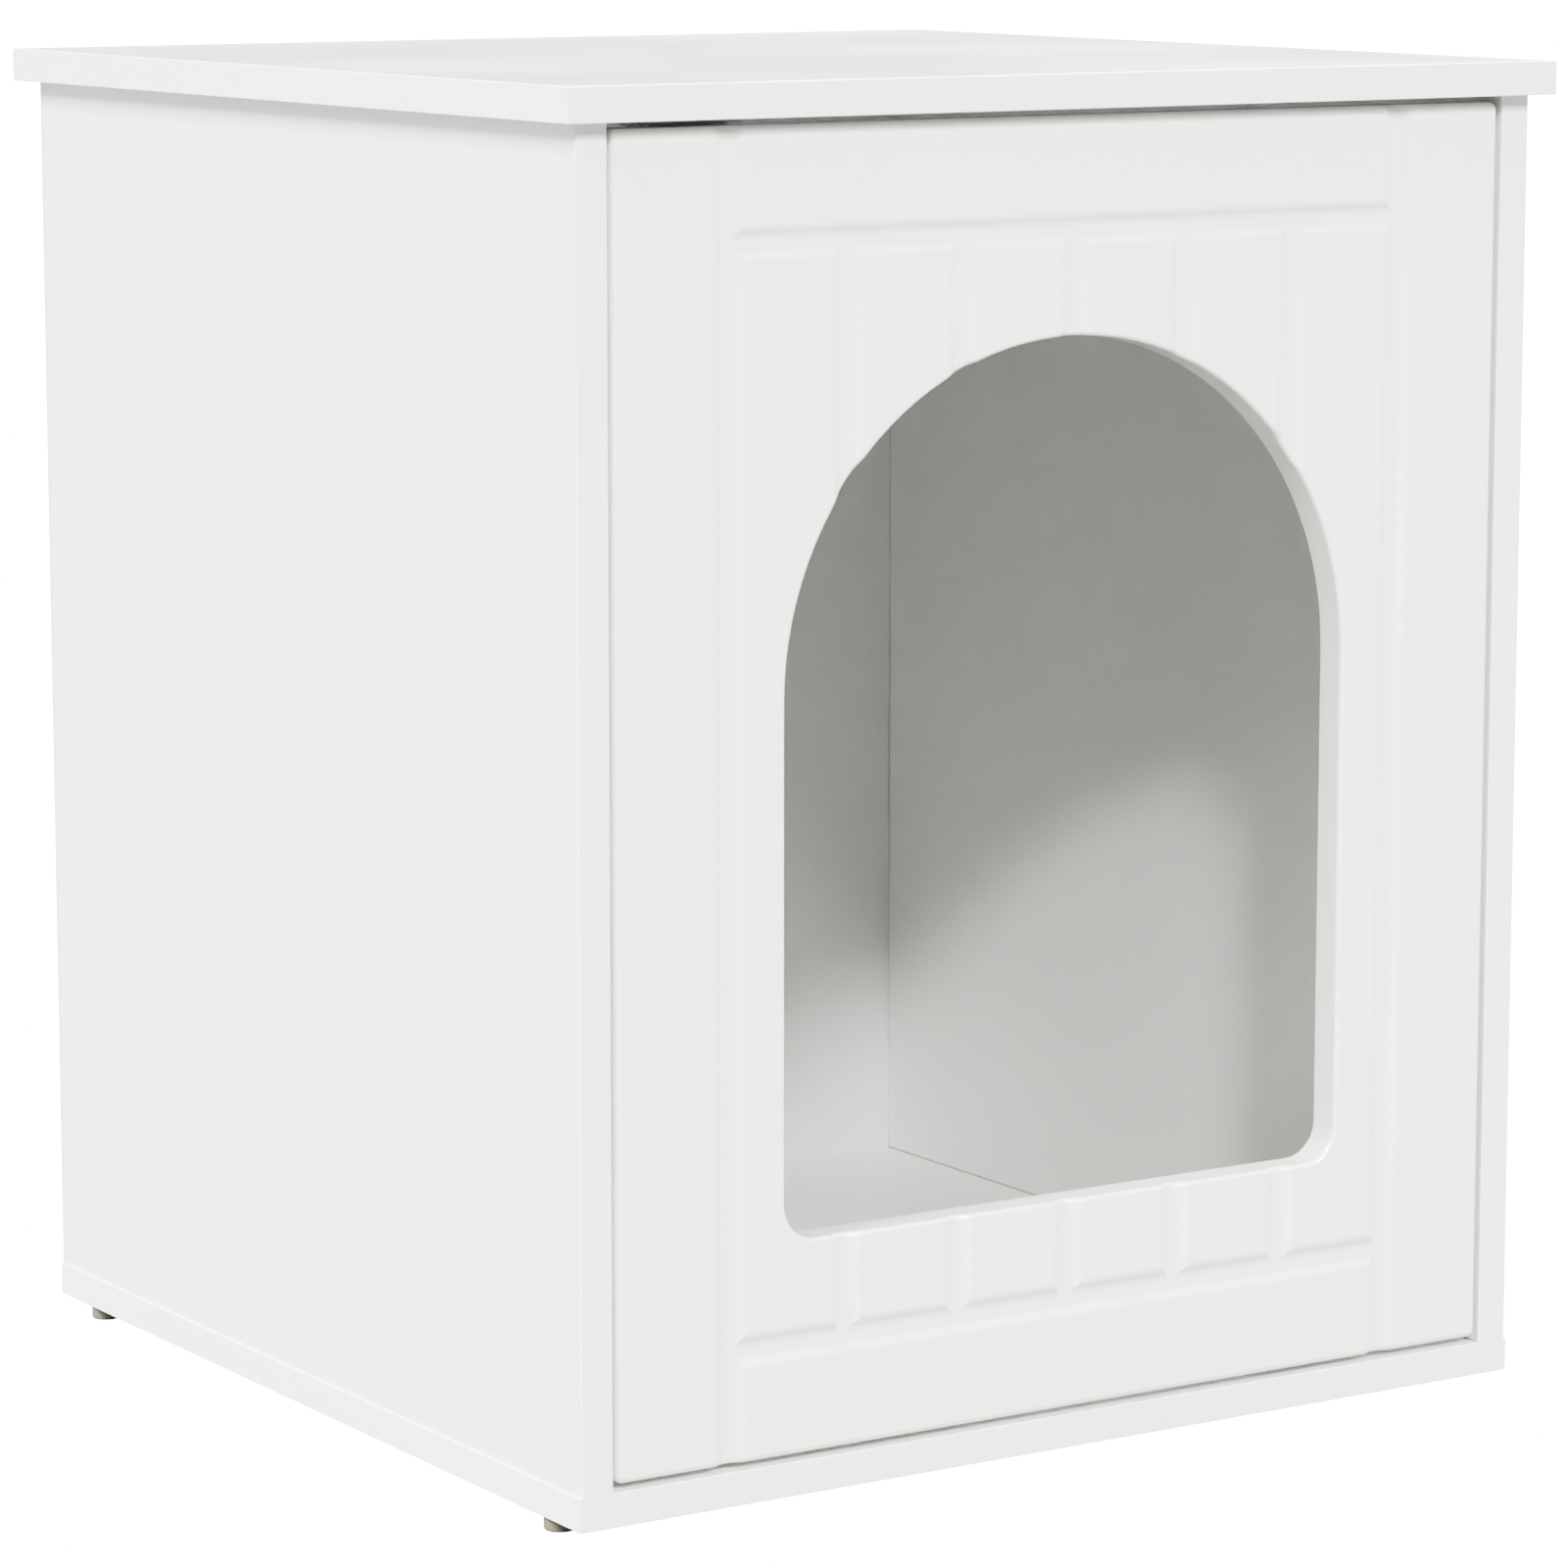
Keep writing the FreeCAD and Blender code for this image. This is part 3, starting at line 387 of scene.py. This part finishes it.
def cross_bit(size, top, depth):
    """A plus-shaped bit that narrows downwards, in millimetres."""
    arm, narrowed = 0.3 * size, 0.55
    bpy.ops.object.select_all(action="DESELECT")
    bpy.ops.mesh.primitive_cube_add(size=1, location=(0, 0, (top - depth / 2 + SPARE) * MM),
                                    scale=(arm * MM, arm * MM, (depth + 2 * SPARE) * MM))
    bit = bpy.context.active_object
    bpy.ops.object.transform_apply(location=True, scale=True)
    bpy.ops.object.mode_set(mode="EDIT")
    bpy.ops.mesh.select_all(action="DESELECT")
    bpy.ops.object.mode_set(mode="OBJECT")
    for face in bit.data.polygons:
        face.select = abs(face.normal.z) < 0.5
    bpy.ops.object.mode_set(mode="EDIT")
    bpy.ops.mesh.extrude_faces_move(TRANSFORM_OT_shrink_fatten={"value": (size - arm) / 2 * MM})
    bpy.ops.mesh.select_all(action="DESELECT")
    bpy.ops.object.mode_set(mode="OBJECT")
    for vertex in bit.data.vertices:
        vertex.select = vertex.co.z < (top - depth / 2) * MM
    bpy.ops.object.mode_set(mode="EDIT")
    bpy.ops.transform.resize(value=(narrowed, narrowed, 1), center_override=(0, 0, 0))
    bpy.ops.mesh.select_all(action="SELECT")
    bpy.ops.mesh.normals_make_consistent(inside=False)
    bpy.ops.object.mode_set(mode="OBJECT")
    return bit


def hex_bit(size, top, depth):
    """A six-sided bit, in millimetres across its corners."""
    bpy.ops.object.select_all(action="DESELECT")
    bpy.ops.mesh.primitive_cylinder_add(vertices=6, radius=size / 2 * MM,
                                        depth=(depth + 2 * SPARE) * MM,
                                        location=(0, 0, (top - depth / 2 + SPARE) * MM))
    bpy.ops.object.transform_apply(location=True)
    return bpy.context.active_object


def punch(piece, bit):
    """Cut the bit out of the head and throw the bit away."""
    bpy.ops.object.select_all(action="DESELECT")
    piece.select_set(True)
    bpy.context.view_layer.objects.active = piece
    cutter = piece.modifiers.new("drive", "BOOLEAN")
    cutter.operation, cutter.object, cutter.solver = "DIFFERENCE", bit, "EXACT"
    bpy.ops.object.modifier_apply(modifier=cutter.name)
    bpy.data.objects.remove(bit)
    bpy.ops.object.shade_smooth_by_angle(angle=SMOOTH)
    return piece


print("drives ready")

# %% [markdown]
# ## Fasteners in their places
#
# One model of each kind is made and then copied to every place that the solids give. The copies
# of one node are joined, so that one detailed piece stands for one solid and rides on the same
# body. A model points along +Z with the underside of its head at zero.

# %% Place copies
def set_fasteners(model, node, body, spots):
    """Copies of a model in place of a solid node, at spots of places in millimetres by facing."""
    bpy.ops.object.select_all(action="DESELECT")
    copies = []
    placed = [(facing, place) for facing, places in spots.items() for place in places]
    for facing, place in placed:
        one = model.copy()
        one.data = model.data.copy()
        bpy.context.collection.objects.link(one)
        one.location = Vector(place) * MM
        one.rotation_euler = Vector(facing).to_track_quat("Z", "Y").to_euler()
        one.select_set(True)
        copies.append(one)
    bpy.context.view_layer.objects.active = copies[0]
    bpy.ops.object.join()
    piece = bpy.context.active_object
    piece.name = "turned_" + node
    bpy.ops.object.transform_apply(location=True, rotation=True)
    bpy.data.objects.remove(model)
    slot = SLOTS[node]
    piece.data.materials.clear()
    piece.data.materials.append(finishes[slot].material)
    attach(piece, body)
    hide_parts(node)
    print(piece.name, "-", len(copies), "copies,", len(piece.data.polygons), "faces")


def pan_screw(radius, height, shank, length):
    """A screw with a domed head of a radius and a height, and a threaded shank."""
    root = 0.72 * shank
    rings = thread(root, crest=shank, start=-length, end=-0.2, pitch=1.1) + [(root, 0)]
    model = turn_on_lathe("pan_screw", rings + dome(radius, 0, height))
    return punch(model, cross_bit(1.15 * radius, height, 0.75 * height))


LEFT, RIGHT, BACK, DOWN = (-1, 0, 0), (1, 0, 0), (0, 1, 0), (0, 0, -1)
HINGE_Z = (112.5, 499)
CUP_SCREW_Z = [z + rise for z in HINGE_Z for rise in (-24, 24)]
PLATE_SCREW_Z = [z + rise for z in HINGE_Z for rise in (-16, 16)]
ARM_SCREW_Y = (-195, -175)
STRIKE_SCREW_X = (-205.5, -163.5)
CATCH_SCREW_X = (-207, -162)
set_fasteners(pan_screw(radius=3, height=1.6, shank=1.5, length=10), "hinge_cup_screws", "door",
              {BACK: [(201, -229.8, z) for z in CUP_SCREW_Z]})
set_fasteners(pan_screw(radius=3, height=1.6, shank=1.5, length=9), "strike_screws", "door",
              {BACK: [(x, -230, 582) for x in STRIKE_SCREW_X]})
set_fasteners(pan_screw(radius=3, height=1.6, shank=1.5, length=12), "hinge_plate_screws",
              "cabinet", {LEFT: [(230, -199, z) for z in PLATE_SCREW_Z]})
set_fasteners(pan_screw(radius=3.2, height=2, shank=1.6, length=8), "hinge_arm_screws", "cabinet",
              {LEFT: [(223.5, y, z) for z in HINGE_Z for y in ARM_SCREW_Y]})
set_fasteners(pan_screw(radius=3, height=1.6, shank=1.5, length=10), "catch_screws", "cabinet",
              {DOWN: [(x, -221.5, 587.5) for x in CATCH_SCREW_X]})

# %% [markdown]
# ## Nails, long screws and cap plugs
#
# Small nails with flat domed heads hold the hardboard, and each glide has a nail through its
# middle. The long screws under the floor have a countersunk head, a plain neck and a coarse
# thread. A cap plug is a thin button with a rounded rim that covers a cam nut.

# %% Nails, long screws and cap plugs
SIDE_X = (-239, 239)
FITTING_Y = (-186, 181)
FOOT_Y = (-215, 213)
NAIL_Z = (51.5, 178.625, 305.75, 432.875, 560)


def nail(shank, head, height, length):
    """A pointed nail with a small swelling under its domed head."""
    rings = [(0.1, -length), (shank, -length + 2.5), (shank, -1.5), (1.08 * shank, -1.2),
             (shank, -0.9), (shank, 0)]
    return turn_on_lathe("nail", rings + dome(head, 0, height), sides=20)


def floor_screw():
    """A long screw with its countersunk head level with zero."""
    coarse = thread(root=1.75, crest=2.5, start=-50, end=-15, pitch=2.5)
    head = [(3.5, -15), (3.5, -4), (5, -2.6), (5, -0.4), (4.7, 0), (1, 0)]
    model = turn_on_lathe("floor_screw", coarse + head)
    return punch(model, hex_bit(size=4.6, top=0, depth=3))


def cap_plug():
    """A thin button, a little hollow inside its rounded rim."""
    rings = [(8, 0), (8.5, 0.15), (8.5, 0.5), (8.2, 0.8), (7.6, 0.95), (6.4, 1), (6.0, 0.9),
             (3, 0.86), (0.6, 0.85)]
    return turn_on_lathe("cap_plug", rings, sides=40)


set_fasteners(nail(shank=0.7, head=1.6, height=0.8, length=20), "back_panel_nails", "cabinet",
              {BACK: [(x, 244, z) for x in SIDE_X for z in NAIL_Z]})
set_fasteners(nail(shank=1, head=2.5, height=1, length=15.5), "foot_nails", "cabinet",
              {DOWN: [(x, y, 2) for x in SIDE_X for y in FOOT_Y]})
set_fasteners(floor_screw(), "bottom_screws", "cabinet",
              {DOWN: [(x, y, 6.5) for x in SIDE_X for y in FITTING_Y]})
set_fasteners(cap_plug(), "top_cam_caps", "cabinet",
              {RIGHT: [(-231.5, y, 556) for y in FITTING_Y],
               LEFT: [(231.5, y, 556) for y in FITTING_Y]})

# %% [markdown]
# ## Pressed and moulded edges
#
# Sheet metal from a press and plastic from a mould have no knife edges: a thin round catches the
# light along every one. The solids end in sharp edges, so a copy is merged, its flat faces are
# joined up, and a bevel modifier rounds what is left. The box around the piece stays as it was.

# %% Softened pieces
def soften(node, body, width):
    """A copy of a solid, in its place, with its sharp edges rounded by a width in millimetres."""
    bpy.ops.object.select_all(action="DESELECT")
    piece = bpy.data.objects.new("soft_" + node, frame["nodes"][node].data.copy())
    bpy.context.collection.objects.link(piece)
    piece.select_set(True)
    bpy.context.view_layer.objects.active = piece
    bpy.ops.object.mode_set(mode="EDIT")
    bpy.ops.mesh.select_all(action="SELECT")
    bpy.ops.mesh.remove_doubles(threshold=0.01 * MM)
    bpy.ops.mesh.dissolve_limited(angle_limit=math.radians(2))
    bpy.ops.mesh.normals_make_consistent(inside=False)
    bpy.ops.object.mode_set(mode="OBJECT")
    edge = piece.modifiers.new("edge", "BEVEL")
    edge.width, edge.segments = width * MM, 2
    edge.limit_method, edge.angle_limit = "ANGLE", math.radians(40)
    edge.use_clamp_overlap = False
    bpy.ops.object.modifier_apply(modifier=edge.name)
    bpy.ops.object.shade_smooth_by_angle(angle=SMOOTH)
    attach(piece, body)
    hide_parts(node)
    print(piece.name, "-", len(piece.data.polygons), "faces")


for height in ("lower", "upper"):
    soften(height + "_hinge_arm", "cabinet", width=0.3)
    soften(height + "_hinge_plate", "cabinet", width=0.3)
    soften(height + "_hinge_cup", "door", width=0.2)
for foot in ("front_left", "front_right", "back_left", "back_right"):
    soften(foot + "_foot", "cabinet", width=0.6)
soften("catch_housing", "cabinet", width=0.4)
soften("strike_plate", "door", width=0.2)

# %% [markdown]
# ## Floor, light and camera
#
# The cat house stands on a plain white floor under soft parallel lights. A narrow one from the
# front left throws the bright patch through the arch, and one from the front right evens out the
# door. Two light the left side, one from behind keeps the far faces from going dark, and a broad
# one comes from overhead. The two front lights are low enough to reach under the rim of the top.
# Light that comes back up from a pale floor would wash out the lower flanks of the grooves, so
# the floor itself is dark and only glows: white where the camera sees it, and faintly where a
# glossy face mirrors it.

# %% Floor
FLOOR_GREY = (0.12, 0.12, 0.12, 1)
MIRRORED_GLOW = 0.12  # share of the glow that a glossy face mirrors


def pale_floor():
    """A dark floor that glows white for the camera."""
    finish = Finish("floor_white", roughness=0.9, emission_strength=5)
    finish.shader.inputs["Base Color"].default_value = FLOOR_GREY
    seen = finish.place.add("LightPath", {}, {}, output="Is Camera Ray")
    mirrored = finish.place.add("LightPath", {}, {}, output="Is Glossy Ray")
    glow = seen + MIRRORED_GLOW * mirrored
    finish.feed("Emission Color", glow.between((0, 0, 0), (1, 1, 1)))
    return finish


bpy.ops.object.select_all(action="DESELECT")
bpy.ops.mesh.primitive_plane_add(size=80)
floor = bpy.context.active_object
floor.name = "floor"
floor.data.materials.append(pale_floor().material)
print("floor:", floor.dimensions.x, "m wide")

# %% Light
WARM = (1, 1, 0.955)
SKY_STRENGTH = 0.03


def parallel_light(name, heading, drop, spread, strength):
    """Light that travels along a heading, clockwise from +Y seen from above, and falls."""
    bpy.ops.object.light_add(type="SUN", location=(0, 0, 3))
    lamp = bpy.context.active_object
    lamp.name = name
    turn, fall = math.radians(heading), math.radians(drop)
    way = Vector((math.sin(turn) * math.cos(fall), math.cos(turn) * math.cos(fall),
                  -math.sin(fall)))
    lamp.rotation_euler = way.to_track_quat("-Z", "Y").to_euler()
    lamp.data.energy = strength
    lamp.data.angle = math.radians(spread)
    lamp.data.color = WARM


parallel_light("front_light", heading=26.5, drop=36.1, spread=5.5, strength=2.6)
parallel_light("right_light", heading=-12, drop=32, spread=14, strength=3.65)
parallel_light("side_light", heading=92, drop=46.5, spread=25, strength=7.1)
parallel_light("low_light", heading=90, drop=15, spread=60, strength=1.1)
parallel_light("rear_light", heading=225, drop=33, spread=50, strength=6.1)
parallel_light("top_light", heading=0, drop=90, spread=80, strength=1.8)
sky = bpy.data.worlds.new("sky")
sky.use_nodes = True
sky_light = sky.node_tree.nodes["Background"]
sky_light.inputs["Strength"].default_value = SKY_STRENGTH
sky_light.inputs["Color"].default_value = (1, 1, 1, 1)
bpy.context.scene.world = sky
print("six lights and a sky")

# %% Camera
CAMERA_PLACE = (-1.4612, -2.2896, 0.7035)
LOOK_DOWN, LOOK_RIGHT = 9.116, 32.745  # degrees from level and from +Y
FOCAL_LENGTH = 135.68  # millimetres, on a frame 36 mm wide

bpy.ops.object.camera_add(location=CAMERA_PLACE)
camera = bpy.context.active_object
camera.rotation_euler = Euler((math.radians(90 - LOOK_DOWN), 0, math.radians(-LOOK_RIGHT)))
camera.data.sensor_width = 36
camera.data.lens = FOCAL_LENGTH
bpy.context.scene.camera = camera
bpy.context.scene.view_settings.view_transform = "AgX"
bpy.context.scene.view_settings.look = "AgX - High Contrast"
print("camera at", tuple(round(value, 3) for value in camera.location))

# %% [markdown]
# ## Check the size and finish
#
# The dressed object has to fill the same box as its solids. Both boxes are written down before
# the last call, which checks the frame and writes the table of pieces.

# %% Sizes and the last call
def plain(box):
    return [[round(value, 6) for value in corner] for corner in box]
